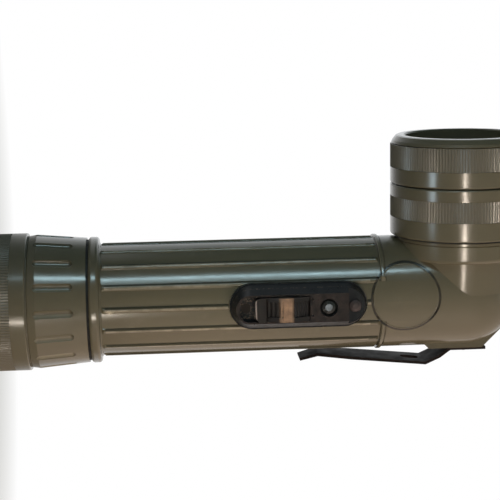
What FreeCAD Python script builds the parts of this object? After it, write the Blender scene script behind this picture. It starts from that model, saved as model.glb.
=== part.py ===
import FreeCAD, Part
import math
import os

# Right-angle signal lamp for two D cells, standing on its tail.  Sizes are in millimetres.
# +Z runs up the barrel to the head, the lens looks along -Y, the switch is on +X and the
# belt clip on +Y.  The origin is the middle of the flat tail face.

V = FreeCAD.Vector
os.makedirs("parts", exist_ok=True)

# Dry cell and flanged bulb, both standard
cellRadius = 17.1
cellHeight = 61.0
cellNubRadius = 4.75
cellNubHeight = 1.5
cellBeadDepth = 0.35
glassRadius = 5.5
glassLength = 15.9
bulbFlangeRadius = 6.0
bulbFlangeThick = 0.8
bulbShellRadius = 4.6
bulbShellLength = 13.6
bulbTipLength = 1.5

# Clearances
runFit = 0.1          # radial play of a screwed or turning fit
slideFit = 0.2        # side play of a sliding piece
loosePlay = 0.3       # play round a piece that drops in
facePlay = 0.05       # play under a sliding face

# Tail: end cap, tail cap and the filters and spare bulb that they hold
ringRecessDepth = 3.6
endRim = 5.4
tailBossPlay = 0.8        # between the flat boss and the hanger's strap
endFloorThick = 1.8
endCapProud = 0.6         # end cap's radius beyond the tail cap's
endKnurlInset = 0.2
endKnurlLow = 4.2
endKnurlHigh = 19.4
endCapChamfer = 1.4
endCapRound = 0.4
endGasketThick = 0.4
endGasketInset = 1.1
filterInset = 1.0
filterThick = 2.0
storedFilters = 3
cradleHeight = 12.0
capNeckWall = 2.3
capNeckInset = 1.0
capFloorThick = 2.0
capShoulderDrop = 1.1     # from the top of the cap floor down to the outer shoulder, less the floor
capWall = 3.3             # case's neck out to the foot of the tail cap
capRimInset = 1.5
capFootInset = 0.4        # foot of the tail cap, which tapers in towards the shoulder
capFootRise = 2.8
fluteCount = 16
fluteRadius = 1.45
fluteInset = 1.1          # foot of the tail cap in to the floor of a flute
fluteTopDrop = 4.3
fluteEndShare = 0.95      # rounding of a flute's ends as a share of its radius
fluteLow = 2.0

# Tail contact and battery spring
tailPlateThick = 0.5
springWire = 0.6
springRest = 8.4
springTurns = 3
springPoints = 8          # points to a turn of the coil's line
springFootRadius = 12.0
springTopRadius = 6.0

# Case: neck, flange, ribbed barrel, bead and elbow head
gasketThick = 0.7
neckWall = 2.6            # bore out to the case's neck
neckLength = 12.6
neckRise = 6.5            # tail contact's floor up to the case's neck
flangeProud = 2.0
flangeThick = 3.6
flangeRound = 1.1
flangeFoot = 0.7
gasketInset = 0.9
barrelWall = 2.0
ribCount = 16
ribHeight = 0.6
ribRound = 1.2            # radius of a rib's round section
ribEndSlope = 1.4
beadGroove = 0.4
beadWidth = 1.5
beadProud = 0.9
beadGrooveDepth = 0.2
headProud = 0.3
lensAxisRise = 20.1       # top of the cells to the lens axis
headDrop = 29.8           # lens axis down to the foot of the head
throatRootInset = 0.15
throatSlope = 5.9         # degrees by which the throat widens towards the lens
throatBoreInset = 0.5
throatShort = 7.2         # head's radius less the throat's length
collarInset = 1.6         # collar inside the lens ring's radius
collarLength = 7.25
collarLineBack = 0.85      # lens end of the collar back to the fine groove round it
lineWidth = 0.4
lineDepth = 0.25
collarRound = 1.6
headNeckInset = 2.3
headNeckWall = 1.9
headNeckLength = 13.25
headNeckStart = 18.4
markRadius = 11.75
markWidth = 0.7
markDepth = 0.6
markAcross = -1.2
markDrop = 23.3           # lens axis down to the centre of the round mark
ledgeThick = 2.0
ledgeReach = 9.0

# Contact strips in the barrel wall
stripThick = 0.4
stripHalf = 2.4
stripPlay = 0.15
stripInset = 0.15
tabPastCavity = 5.0
tabPastButton = 4.0
stripGap = 1.0
windowPlay = 0.8
rivetHolePlay = 0.4

# Switch on the +X side
plateDrop = 83.8          # lens axis down to the tail end of the switch plate
plateLength = 46.8
plateHalf = 7.8
seatInset = 0.6
seatPlay = 0.4
plateEdge = 1.6
plateSideInset = 0.3
plateThick = 7.2
plateTopHalf = 4.9
plateTopInset = 1.8
endStepDrop = 2.6
endStepLength = 6.9
cavityHalf = 5.2
cavityDepth = 2.8
cavityInset = 5.0
cavityEndInset = 6.4
trackDepth = 3.4
trackInset = 3.1
trackCorner = 3.2
sliderInset = 8.3         # tail end of the switch plate to the slider when it is forward
sliderLength = 18.3
sliderHalf = 4.1
sliderCorner = 2.0
sliderTravel = 4.5
sliderBarLength = 3.6
sliderBarRise = 1.2        # above the top of the switch plate
sliderScoopDrop = 0.7
sliderSaddleRise = 2.6
saddleLength = 3.4
saddleDip = 0.35
frontSlopeLength = 5.7
scoopHalf = 2.6
scoopDepth = 0.7
rearRidges = 4
frontRidges = 5
ridgeHeight = 0.35
footHalf = 1.4
footLength = 5.0
bridgeThick = 0.5
bridgeHalf = 2.0
bridgeTail = 5.5
bridgeHead = 6.0
pipRadius = 0.5
pipHalf = 2.75
pipInset = 0.8
buttonRise = 33.15        # tail end of the switch plate to the button
buttonRadius = 2.65
buttonRecessRadius = 3.05
buttonRecessDepth = 1.2
buttonSunk = 0.3
buttonDome = 0.7
buttonFlangeRadius = 3.5
buttonFlangeThick = 0.8
leafThick = 0.3
leafHalf = 1.8
leafReach = 4.6
leafFoot = 2.4
rivetShank = 1.3
rivetHead = 2.25
rivetDome = 0.9
flushHead = 1.7
flushHeadThick = 0.7
frontRivetInset = 4.4
rearRivetInset = 5.4

# Belt clip on the +Y side
clipWidth = 13.0
clipThick = 1.0
clipSeatProud = 0.3
clipTabLength = 12.8
clipRise = 7.5            # lens axis up to the head end of the clip
clipKneeDrop = 21.5
clipKneeOut = 5.9
clipBendDrop = 16.5
clipBendOut = 3.7
clipNeckDrop = 59.7
clipNeckOut = 1.95
clipTipDrop = 66.0
clipTipOut = 3.6
clipTipHalf = 4.0
clipTaper = 18.0
clipSlotDrop = 1.5
clipSlotLength = 6.5
clipSlotHalf = 2.0
clipRivetDrop = 7.4
clipRivetHalf = 3.4
clipRivetHead = 1.8
clipRivetDome = 0.7
bossHalf = 7.5
bossLow = 23.5
bossHigh = 1.5
bossSlope = 3.0
bossDepth = 9.0           # seat in to the boss's root, its ends sloping at 45 degrees

# Lens ring, lens, reflector and filter ring on the lens axis
headGasketThick = 0.7
headGasketInset = 0.3     # inside the collar's radius
ringProud = 5.5           # lens ring's radius beyond the head's
knurlInset = 0.7
lensRingBandRear = 6.45
lensRingKnurl = 7.2
lensRingBandFront = 4.1
ringEdge = 0.5
rimThick = 0.6
lensGasketThick = 1.0
lensThick = 2.0
lensInset = 2.6
openingInset = 5.14
filterNeckInset = 2.8
filterNeckLength = 11.8
ringGap = 0.4
filterRingBand = 5.5
filterRingKnurl = 8.05
filterRingNose = 3.0
filterNoseInset = 2.6
filterGasketThick = 1.2
focalLength = 6.0
mouthInset = 5.8
reflectorWall = 0.5
bulbHole = 5.75
sleeveRadius = 7.5
sleeveLength = 6.5
holderWall = 1.5
holderBack = 1.6
holderOverlap = 4.5
contactRadius = 2.0
contactHeadThick = 1.0

# Upper battery contact
discThick = 1.6
discRivetRadius = 1.8
topLeafHalf = 3.0
topLeafBend = 7.0

# Hanging ring under the tail
hangerWire = 1.1
hangerDrop = 1.9          # tail face up to the ring's pivot
hangerInset = 5.5         # rim of the tail's recess to the ring's pivot, on the lens side
hangerHalf = 11.0
hangerBend = 4.0
strapHalf = 3.0
strapThick = 0.6
strapReach = 5.2
strapRivet = 0.9

# Radii and outward distances that follow from the sizes above
boreRadius = cellRadius + loosePlay
neckRadius = boreRadius + neckWall
flangeRadius = neckRadius + flangeProud
landRadius = boreRadius + barrelWall
beadRadius = landRadius + beadProud
headRadius = landRadius + headProud
ringRadius = headRadius + ringProud
capBaseRadius = neckRadius + capWall
seatX = landRadius - seatInset
plateTopX = seatX + plateThick
endStepX = plateTopX - endStepDrop
cavityTopX = seatX + cavityDepth
trackFloorX = plateTopX - trackDepth
sliderBarX = plateTopX + sliderBarRise
sliderLowX = plateTopX - sliderScoopDrop
sliderSaddleX = plateTopX + sliderSaddleRise
clipSeat = headRadius + clipSeatProud
endCapRadius = capBaseRadius + endCapProud
endKnurlRadius = endCapRadius - endKnurlInset
ringRecessRadius = endCapRadius - endRim
hangerPivot = ringRecessRadius - hangerInset
hangerReach = 2 * hangerPivot
tailBossRadius = hangerPivot - strapReach - tailBossPlay
capNeckRadius = capBaseRadius - capNeckInset
capRimRadius = capBaseRadius - capRimInset
filterRadius = capNeckRadius - filterInset
fluteAxis = capBaseRadius - fluteInset + fluteRadius
throatBoreRadius = boreRadius - throatBoreInset
collarRadius = ringRadius - collarInset
headNeckRadius = ringRadius - headNeckInset
headNeckBore = headNeckRadius - headNeckWall
lensRadius = ringRadius - lensInset
openingRadius = ringRadius - openingInset
filterNeckRadius = ringRadius - filterNeckInset
filterNoseRadius = ringRadius - filterNoseInset
mouthRadius = ringRadius - mouthInset

# Heights that follow from the sizes above
endFloorTop = ringRecessDepth + endFloorThick
stackTop = endFloorTop + storedFilters * filterThick
neckEnd = stackTop + loosePlay
cradleLow = neckEnd + loosePlay
capFloorLow = cradleLow + cradleHeight
capFloorTop = capFloorLow + capFloorThick
shoulderZ = capFloorLow + capShoulderDrop
endCapTop = shoulderZ - endGasketThick
caseNeckLow = capFloorTop + tailPlateThick + neckRise
flangeBottom = caseNeckLow + neckLength
tailRim = flangeBottom - gasketThick
cellLow = capFloorTop + tailPlateThick + springRest
cellTop = cellLow + 2 * cellHeight
flangeTop = flangeBottom + flangeThick
ribLow = flangeTop + flangeFoot
lensAxisZ = cellTop + lensAxisRise
headLow = lensAxisZ - headDrop
beadHigh = headLow - beadGroove
beadLow = beadHigh - beadWidth
ribHigh = beadLow - beadGroove
headTop = lensAxisZ + headRadius
plateZ = lensAxisZ - plateDrop
plateEndZ = plateZ + plateLength
clipTopZ = lensAxisZ + clipRise
buttonZ = plateZ + buttonRise
stepZ = plateEndZ - endStepLength
sliderLow = plateZ + sliderInset
sliderHigh = sliderLow + sliderLength
trackLow = plateZ + trackInset
trackHigh = sliderHigh + slideFit
bridgeTopX = cavityTopX - facePlay
stripOuterX = boreRadius + stripInset + stripThick
padX = seatX + stripPlay + stripThick

# Distances along the lens axis, measured forward from the barrel axis
throatLength = headRadius - throatShort
throatRootRadius = headRadius - throatRootInset
throatRadius = throatRootRadius + throatLength * math.tan(math.radians(throatSlope))
collarEnd = throatLength + collarLength
lensRingStart = collarEnd + headGasketThick
neckFront = collarEnd + headNeckLength
rimFront = neckFront + rimThick
lensBack = rimFront + lensGasketThick
lensFront = lensBack + lensThick
lensRingEnd = lensRingStart + lensRingBandRear + lensRingKnurl + lensRingBandFront
filterNeckEnd = lensRingEnd + filterNeckLength
filterRingStart = lensRingEnd + ringGap
filterLip = filterNeckEnd + filterGasketThick
filterRingEnd = filterRingStart + filterRingBand + filterRingKnurl + filterRingNose
vertexDistance = neckFront - mouthRadius ** 2 / (4 * focalLength)
bulbFlangeFront = vertexDistance - 0.3
bulbFlangeBack = bulbFlangeFront - bulbFlangeThick
bulbTipEnd = bulbFlangeBack - bulbShellLength - bulbTipLength


def turned(outline):
    points = [V(radius, 0, height) for radius, height in outline]
    face = Part.Face(Part.makePolygon(points + points[:1]))
    return face.revolve(V(0, 0, 0), V(0, 0, 1), 360)


def rod(radius, low, high):
    return Part.makeCylinder(radius, high - low, V(0, 0, low))


def tube(outer, inner, low, high):
    return rod(outer, low, high).cut(rod(inner, low - 1, high + 1))


def block(xLow, xHigh, yLow, yHigh, zLow, zHigh):
    return Part.makeBox(xHigh - xLow, yHigh - yLow, zHigh - zLow, V(xLow, yLow, zLow))


# Circular edges of given (radius, height) on a piece turned about Z
def rims(solid, places):
    found = []
    for edge in solid.Edges:
        curve = edge.Curve
        if not isinstance(curve, Part.Circle):
            continue
        for radius, height in places:
            if abs(curve.Radius - radius) < 0.001 and abs(curve.Center.z - height) < 0.001:
                found.append(edge)
    return found


# A piece drawn forward along +Z is laid on the lens axis, forward being -Y
def onLensAxis(solid):
    laid = solid.copy()
    laid.rotate(V(0, 0, 0), V(1, 0, 0), 90)
    laid.translate(V(0, 0, lensAxisZ))
    return laid


# A piece drawn up along +Z is laid on the +X side, up being outward, at height z
def onSwitchSide(solid, z, y=0.0):
    laid = solid.copy()
    laid.rotate(V(0, 0, 0), V(0, 1, 0), 90)
    laid.translate(V(0, y, z))
    return laid


# Slot-shaped outline with round ends in a plane of constant X
def slotWire(zLow, zHigh, half, x):
    a = V(x, -half, zLow + half)
    b = V(x, -half, zHigh - half)
    c = V(x, half, zHigh - half)
    d = V(x, half, zLow + half)
    top = Part.Arc(b, V(x, 0, zHigh), c).toShape()
    bottom = Part.Arc(d, V(x, 0, zLow), a).toShape()
    sides = [Part.makeLine(a, b), top, Part.makeLine(c, d), bottom]
    return Part.Wire(sides)


def slotBlock(zLow, zHigh, half, xLow, xHigh):
    return Part.Face(slotWire(zLow, zHigh, half, xLow)).extrude(V(xHigh - xLow, 0, 0))


# Flat outline in the XZ plane carried sideways, centred on Y = 0
def sideways(outline, half):
    points = [V(x, -half, z) for x, z in outline]
    face = Part.Face(Part.makePolygon(points + points[:1]))
    return face.extrude(V(0, 2 * half, 0))


# Ribs of round section whose ends slope down to the barrel
def ribRing():
    crest = landRadius + ribHeight
    rib = Part.makeCylinder(ribRound, ribHigh - ribLow, V(crest - ribRound, 0, ribLow))
    clear = crest + ribHeight
    rib = rib.common(turned([
        (boreRadius, ribLow),
        (landRadius, ribLow),
        (clear, ribLow + ribEndSlope),
        (clear, ribHigh - ribEndSlope),
        (landRadius, ribHigh),
        (boreRadius, ribHigh),
    ]))
    ribs = []
    for index in range(ribCount):
        turnedRib = rib.copy()
        turnedRib.rotate(V(0, 0, 0), V(0, 0, 1), index * 360.0 / ribCount)
        ribs.append(turnedRib)
    return ribs


def barrelBody():
    body = turned([
        (0, caseNeckLow),
        (neckRadius, caseNeckLow),
        (neckRadius, flangeBottom),
        (flangeRadius, flangeBottom),
        (flangeRadius, flangeTop),
        (landRadius + flangeFoot, flangeTop),
        (landRadius, ribLow),
        (landRadius, ribHigh),
        (landRadius - beadGrooveDepth, ribHigh),
        (landRadius - beadGrooveDepth, beadLow),
        (beadRadius, beadLow),
        (beadRadius, beadHigh),
        (landRadius - beadGrooveDepth, beadHigh),
        (landRadius - beadGrooveDepth, headLow),
        (0, headLow),
    ])
    body = body.makeFillet(flangeRound, rims(body, [(flangeRadius, flangeBottom), (flangeRadius, flangeTop)]))
    beadEdge = beadWidth * 0.3
    return body.makeFillet(beadEdge, rims(body, [(beadRadius, beadLow), (beadRadius, beadHigh)]))


# Upright cylinder closed by a half sphere centred on the lens axis
def domed(radius, low):
    foot = V(0, 0, low)
    corner = V(radius, 0, low)
    spring = V(radius, 0, lensAxisZ)
    crown = V(0, 0, lensAxisZ + radius)
    shoulder = V(radius * math.sqrt(0.5), 0, lensAxisZ + radius * math.sqrt(0.5))
    edges = [
        Part.makeLine(foot, corner),
        Part.makeLine(corner, spring),
        Part.Arc(spring, shoulder, crown).toShape(),
        Part.makeLine(crown, foot),
    ]
    return Part.Face(Part.Wire(edges)).revolve(V(0, 0, 0), V(0, 0, 1), 360)


def lensThroat():
    lineFront = collarEnd - collarLineBack
    throat = turned([
        (0, 0),
        (throatRootRadius, 0),
        (throatRadius, throatLength),
        (collarRadius, throatLength),
        (collarRadius, lineFront - lineWidth),
        (collarRadius - lineDepth, lineFront - lineWidth / 2),
        (collarRadius, lineFront),
        (collarRadius, collarEnd),
        (headNeckRadius, collarEnd),
        (headNeckRadius, neckFront),
        (0, neckFront),
    ])
    throat = throat.makeFillet(collarRound, rims(throat, [(collarRadius, throatLength)]))
    return onLensAxis(throat)


# Flat-topped boss on the back of the head that the clip's tab lies on
def clipBoss():
    top = clipTopZ + bossHigh
    low = clipTopZ - bossLow
    inner = clipSeat - bossDepth
    points = [
        V(-bossHalf, inner, low + bossSlope - bossDepth),
        V(-bossHalf, clipSeat, low + bossSlope),
        V(-bossHalf, clipSeat, top - bossSlope),
        V(-bossHalf, inner, top - bossSlope + bossDepth),
    ]
    face = Part.Face(Part.makePolygon(points + points[:1]))
    return face.extrude(V(2 * bossHalf, 0, 0))


# Column out through the +X side of the case at the round mark
def markColumn(radius):
    column = rod(radius, (boreRadius + landRadius) / 2, headRadius + 2)
    return onSwitchSide(column, lensAxisZ - markDrop, markAcross)


# Bare disc at the head's own level, which stops the bead and the ribs, and the groove round it
def addMark(case):
    groove = markColumn(markRadius + markWidth / 2).cut(rod(headRadius - markDepth, plateEndZ, headTop))
    disc = markColumn(markRadius - markWidth / 2).common(rod(headRadius, plateEndZ, lensAxisZ))
    return case.cut(groove).fuse(disc)


def caseStripGrooves():
    depth = stripOuterX + stripPlay
    half = stripHalf + stripPlay
    upright = block(boreRadius - 1, depth, -half, half, caseNeckLow - 1, lensAxisZ + half)
    forward = block(boreRadius - 1, depth, -headNeckStart - 1, half, lensAxisZ - half, lensAxisZ + half)
    return [upright, forward]


def caseWindows():
    half = stripHalf + stripPlay
    windows = []
    for z in (lowerTabZ(), upperTabZ()):
        high = z + stripThick + windowPlay
        windows.append(block(boreRadius - 1, seatX + 1, -half, half, z - windowPlay, high))
    return windows


def lowerTabZ():
    return plateZ + cavityInset + tabPastCavity


def upperTabZ():
    return buttonZ + tabPastButton


def switchRivetSpots():
    return (plateZ + rearRivetInset, plateEndZ - frontRivetInset)


def makeCase():
    case = barrelBody()
    ribs = ribRing()
    case = case.multiFuse(ribs + [
        domed(headRadius, headLow),
        lensThroat(),
        clipBoss(),
        slotBlock(plateZ, plateEndZ, plateHalf, boreRadius + 0.4, seatX),
    ])
    plateRoom = slotBlock(plateZ - seatPlay, plateEndZ + seatPlay, plateHalf + seatPlay, seatX, plateTopX)
    case = case.cut(plateRoom)
    case = addMark(case)
    hollow = domed(boreRadius, caseNeckLow - 1)
    ledgeZ = cellTop + loosePlay + discThick
    ledge = rod(boreRadius + 0.5, ledgeZ, ledgeZ + ledgeThick)
    ledge = ledge.common(block(-boreRadius * 2, boreRadius * 2, ledgeReach, boreRadius * 2, 0, headTop))
    hollow = hollow.cut(ledge)
    throatBore = onLensAxis(rod(throatBoreRadius, 0, headNeckStart + 1))
    neckBore = onLensAxis(rod(headNeckBore, headNeckStart, neckFront + 1))
    case = case.cut([hollow, throatBore, neckBore] + caseStripGrooves() + caseWindows())
    holes = []
    for z in switchRivetSpots():
        holes.append(onSwitchSide(rod(rivetShank, boreRadius - 1, seatX + 1), z))
    for side in (-1, 1):
        hole = rod(rivetShank, 0, clipSeat + 1)
        hole.rotate(V(0, 0, 0), V(1, 0, 0), -90)
        hole.translate(V(side * clipRivetHalf, 0, clipTopZ - clipRivetDrop))
        holes.append(hole)
    return case.cut(holes)


def makeTailGasket():
    return tube(flangeRadius - gasketInset, neckRadius + runFit, tailRim, flangeBottom)


def makeTailCap():
    footTop = shoulderZ + capFootRise
    footRadius = capBaseRadius - capFootInset
    cap = turned([
        (0, capFloorLow),
        (capNeckRadius - capNeckWall, capFloorLow),
        (capNeckRadius - capNeckWall, neckEnd),
        (capNeckRadius, neckEnd),
        (capNeckRadius, shoulderZ),
        (footRadius, shoulderZ),
        (capBaseRadius, footTop),
        (capRimRadius, tailRim),
        (neckRadius + runFit, tailRim),
        (neckRadius + runFit, capFloorTop),
        (0, capFloorTop),
    ])
    cap = cap.makeFillet(endCapRound, rims(cap, [(footRadius, shoulderZ)]))
    return cap.cut(capFlutes(footTop))


# Round-bottomed, round-ended grip flutes about the tail cap, leaning with its taper
def capFlutes(footTop):
    low = shoulderZ + fluteLow
    high = tailRim - fluteTopDrop
    flute = rod(fluteRadius, low, high)
    flute = flute.makeFillet(fluteRadius * fluteEndShare, rims(flute, [(fluteRadius, low), (fluteRadius, high)]))
    lean = math.degrees(math.atan(capRimInset / (tailRim - footTop)))
    flute.rotate(V(0, 0, footTop), V(0, 1, 0), -lean)
    flute.translate(V(fluteAxis, 0, 0))
    flutes = []
    for index in range(fluteCount):
        cutter = flute.copy()
        cutter.rotate(V(0, 0, 0), V(0, 0, 1), index * 360.0 / fluteCount)
        flutes.append(cutter)
    return flutes


def makeTailContact():
    wall = neckRadius - runFit
    top = caseNeckLow - stripThick
    floor = capFloorTop + tailPlateThick
    return turned([
        (0, capFloorTop),
        (wall, capFloorTop),
        (wall, top),
        (wall - tailPlateThick, top),
        (wall - tailPlateThick, floor),
        (0, floor),
    ])


# Conical coil: wide end on the tail contact, narrow end against the cell
def makeBatterySpring():
    low = capFloorTop + tailPlateThick + springWire
    rise = springRest - 2 * springWire
    steps = springTurns * springPoints
    points = []
    for index in range(steps + 1):
        share = index / steps
        angle = 2 * math.pi * index / springPoints
        radius = springFootRadius + (springTopRadius - springFootRadius) * share
        points.append(V(radius * math.cos(angle), radius * math.sin(angle), low + rise * share))
    line = Part.BSplineCurve()
    line.interpolate(points)
    along = line.tangent(line.FirstParameter)[0]
    section = Part.Wire(Part.makeCircle(springWire, points[0], along))
    return Part.Wire(line.toShape()).makePipeShell([section], True, True)


def makeCell(low):
    top = low + cellHeight - cellNubHeight
    edge = 0.8
    bead = cellRadius - cellBeadDepth
    return turned([
        (0, low),
        (cellRadius - edge, low),
        (cellRadius, low + edge),
        (cellRadius, low + 2.4),
        (bead, low + 2.9),
        (cellRadius, low + 3.4),
        (cellRadius, top - 3.4),
        (bead, top - 2.9),
        (cellRadius, top - 2.4),
        (cellRadius, top - edge),
        (cellRadius - edge, top),
        (cellNubRadius + 0.4, top),
        (cellNubRadius, top + 0.4),
        (cellNubRadius, low + cellHeight),
        (0, low + cellHeight),
    ])


def makeContactDisc():
    low = cellTop + loosePlay
    return tube(boreRadius - loosePlay, discRivetRadius, low, low + discThick)


def makeCentreRivet():
    low = cellTop + loosePlay
    top = low + discThick + stripThick
    head = 2 * discRivetRadius
    return turned([
        (0, cellTop),
        (head, cellTop),
        (head, low),
        (discRivetRadius, low),
        (discRivetRadius, top),
        (head, top),
        (head, top + stripThick),
        (0, top + stripThick),
    ])


# Strip from the centre rivet, sprung up and forward against the bulb holder's contact
def makeTopLeaf():
    low = cellTop + loosePlay + discThick
    rest = contactHeadThick - holderRear()
    bend = topLeafBend
    kink = lensAxisZ - topLeafHalf
    tip = lensAxisZ + topLeafHalf
    outline = [
        V(-topLeafHalf, -2 * discRivetRadius - 1, low),
        V(-topLeafHalf, bend + stripThick, low),
        V(-topLeafHalf, rest + stripThick, kink),
        V(-topLeafHalf, rest + stripThick, tip),
        V(-topLeafHalf, rest, tip),
        V(-topLeafHalf, rest, kink),
        V(-topLeafHalf, bend, low + stripThick),
        V(-topLeafHalf, -2 * discRivetRadius - 1, low + stripThick),
    ]
    leaf = Part.Face(Part.makePolygon(outline + outline[:1])).extrude(V(2 * topLeafHalf, 0, 0))
    return leaf.cut(rod(discRivetRadius, low - 1, low + 2))


# Rear face of the bulb holder, forward of the barrel axis (negative is behind it)
def holderRear():
    return bulbTipEnd - holderBack


def makeLowerStrip():
    inner = boreRadius + stripInset
    tabZ = lowerTabZ()
    upright = block(inner, stripOuterX, -stripHalf, stripHalf, caseNeckLow - stripThick, tabZ + stripThick)
    foot = block(inner, neckRadius - runFit, -stripHalf, stripHalf, caseNeckLow - stripThick, caseNeckLow)
    tab = block(inner, padX, -stripHalf, stripHalf, tabZ, tabZ + stripThick)
    pad = block(padX - stripThick, padX, -stripHalf, stripHalf, tabZ, middleZ() - stripGap / 2)
    return upright.multiFuse([foot, tab, pad]).removeSplitter().cut(rivetPassages())


def middleZ():
    return (lowerTabZ() + buttonZ) / 2


# Strip from the switch up to the head and forward to the reflector's rim
def makeUpperStrip():
    inner = boreRadius + stripInset
    tabZ = upperTabZ()
    outerX = headNeckBore - stripInset - 0.15
    top = lensAxisZ + stripHalf
    bottom = lensAxisZ - stripHalf
    turnY = -headNeckStart - stripPlay
    pieces = [
        block(inner, stripOuterX, turnY - stripThick, stripHalf, bottom, top),
        block(inner, outerX, turnY - stripThick, turnY, bottom, top),
        block(outerX - stripThick, outerX, -neckFront, turnY, bottom, top),
        block(inner, padX, -stripHalf, stripHalf, tabZ, tabZ + stripThick),
        block(padX - stripThick, padX, -stripHalf, stripHalf, middleZ() + stripGap / 2, tabZ + stripThick),
    ]
    upright = block(inner, stripOuterX, -stripHalf, stripHalf, tabZ, top)
    return upright.multiFuse(pieces).removeSplitter().cut(rivetPassages())


# Holes that let the switch rivets pass a strip without touching it
def rivetPassages():
    passage = rod(rivetShank + rivetHolePlay, boreRadius, seatX)
    return [onSwitchSide(passage, z) for z in switchRivetSpots()]


def makeSwitchPlate():
    edge = slotBlock(plateZ, plateEndZ, plateHalf, seatX, seatX + plateEdge)
    low = plateZ + plateSideInset
    high = plateEndZ - plateSideInset
    foot = slotWire(low, high, plateHalf - plateSideInset, seatX + plateEdge)
    top = slotWire(plateZ + plateTopInset, plateEndZ - plateTopInset, plateTopHalf, plateTopX)
    plate = edge.fuse(Part.makeLoft([foot, top], True, True)).removeSplitter()
    tools = [
        block(endStepX, plateTopX + 1, -plateHalf, plateHalf, stepZ, plateEndZ),
        slotBlock(plateZ + cavityInset, plateEndZ - cavityEndInset, cavityHalf, seatX - 1, cavityTopX),
        switchTrack(),
        block(cavityTopX - 1, trackFloorX + 1, -footHalf - slideFit, footHalf + slideFit,
              footLow() - sliderTravel - slideFit, footLow() + footLength + slideFit),
        onSwitchSide(rod(buttonRecessRadius, plateTopX - buttonRecessDepth, plateTopX + 1), buttonZ),
        onSwitchSide(rod(buttonRadius + runFit, cavityTopX - 1, plateTopX), buttonZ),
    ]
    rear, front = switchRivetSpots()
    tools.append(onSwitchSide(rod(rivetShank, seatX - 1, endStepX + 1), front))
    tools.append(onSwitchSide(rod(rivetShank, seatX - 1, trackFloorX + 1), rear))
    tools.append(onSwitchSide(rod(flushHead, trackFloorX - flushHeadThick, trackFloorX + 1), rear))
    plate = plate.cut(tools)
    pips = []
    for side in (-1, 1):
        pips.append(Part.makeSphere(pipRadius, V(plateTopX, side * pipHalf, trackHigh + pipInset)))
    return plate.multiFuse(pips)


# Block across the +X side whose two tail corners are rounded
def roundedTail(xLow, xHigh, half, zLow, zHigh, corner):
    whole = block(xLow, xHigh, -half, half, zLow, zHigh)
    corners = []
    for edge in whole.Edges:
        middle = edge.CenterOfMass
        if abs(middle.z - zLow) < 0.001 and abs(abs(middle.y) - half) < 0.001:
            corners.append(edge)
    return whole.makeFillet(corner, corners)


# Pocket that the slider runs in
def switchTrack():
    return roundedTail(trackFloorX, plateTopX + 1, sliderHalf + slideFit, trackLow, trackHigh, trackCorner)


def footLow():
    return sliderLow + (sliderLength - footLength) / 2


# Thumb piece: a bar at its tail end, then a saddle with a ridged scoop on each side of it
def makeSlider():
    base = trackFloorX + facePlay
    barEnd = sliderLow + sliderBarLength
    saddleEnd = sliderHigh - frontSlopeLength
    saddleStart = saddleEnd - saddleLength
    saddleMiddle = (saddleStart + saddleEnd) / 2
    profile = sideways([
        (base, sliderLow),
        (sliderBarX, sliderLow),
        (sliderBarX, barEnd),
        (sliderLowX + scoopDepth, barEnd),
        (sliderSaddleX, saddleStart),
        (sliderSaddleX - saddleDip, saddleMiddle),
        (sliderSaddleX, saddleEnd),
        (sliderLowX + scoopDepth, sliderHigh),
        (base, sliderHigh),
    ], sliderHalf)
    plan = roundedTail(base, sliderSaddleX, sliderHalf, sliderLow, sliderHigh, sliderCorner)
    body = profile.common(plan)
    rearScoop = scoop(barEnd, saddleStart, sliderLowX, sliderSaddleX - scoopDepth, rearRidges)
    frontScoop = scoop(saddleEnd, sliderHigh, sliderSaddleX - scoopDepth, sliderLowX, frontRidges)
    foot = block(bridgeTopX, base + 0.5, -footHalf, footHalf, footLow(), footLow() + footLength)
    return body.cut([rearScoop, frontScoop]).fuse(foot)


# Cutter for a scoop whose saw-tooth floor slopes from one (z, x) to another
def scoop(zStart, zEnd, xStart, xEnd, ridges):
    points = []
    for index in range(ridges):
        foot = index / ridges
        peak = (index + 0.5) / ridges
        points.append((xStart + (xEnd - xStart) * foot, zStart + (zEnd - zStart) * foot))
        points.append((xStart + (xEnd - xStart) * peak + ridgeHeight, zStart + (zEnd - zStart) * peak))
    points.append((xEnd, zEnd))
    points.append((sliderSaddleX + 1, zEnd))
    points.append((sliderSaddleX + 1, zStart))
    return sideways(points, scoopHalf)


# Brass bridge under the slider, which joins the two strips when the slider is forward
def makeSliderContact():
    middle = footLow() + footLength / 2
    low = middle - bridgeTail
    high = middle + bridgeHead
    bottom = padX + facePlay
    bar = block(bridgeTopX - bridgeThick, bridgeTopX, -bridgeHalf, bridgeHalf, low, high)
    wiper = block(bottom, bridgeTopX, -bridgeHalf, bridgeHalf, middle + 0.5, high)
    return bar.fuse(wiper).removeSplitter()


def makeButton():
    flangeLow = cavityTopX - buttonFlangeThick
    top = plateTopX - buttonSunk
    button = turned([
        (0, flangeLow),
        (buttonFlangeRadius, flangeLow),
        (buttonFlangeRadius, cavityTopX),
        (buttonRadius, cavityTopX),
        (buttonRadius, top - buttonDome),
        (buttonRadius * 0.8, top - buttonDome * 0.3),
        (buttonRadius * 0.45, top),
        (0, top),
    ])
    return onSwitchSide(button, buttonZ)


# Bronze leaf that springs the button back and closes the circuit while it is pressed
def makeSignalLeaf():
    top = cavityTopX - buttonFlangeThick
    footX = padX
    tip = buttonZ - leafReach
    bend = buttonZ + buttonFlangeRadius - 0.6
    foot = upperTabZ() - leafFoot * 0.3
    outline = [
        (top - leafThick, tip),
        (top, tip),
        (top, bend),
        (footX + leafThick, foot),
        (footX + leafThick, foot + leafFoot),
        (footX, foot + leafFoot),
        (footX, foot),
        (top - leafThick, bend),
    ]
    return sideways(outline, leafHalf)


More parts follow.
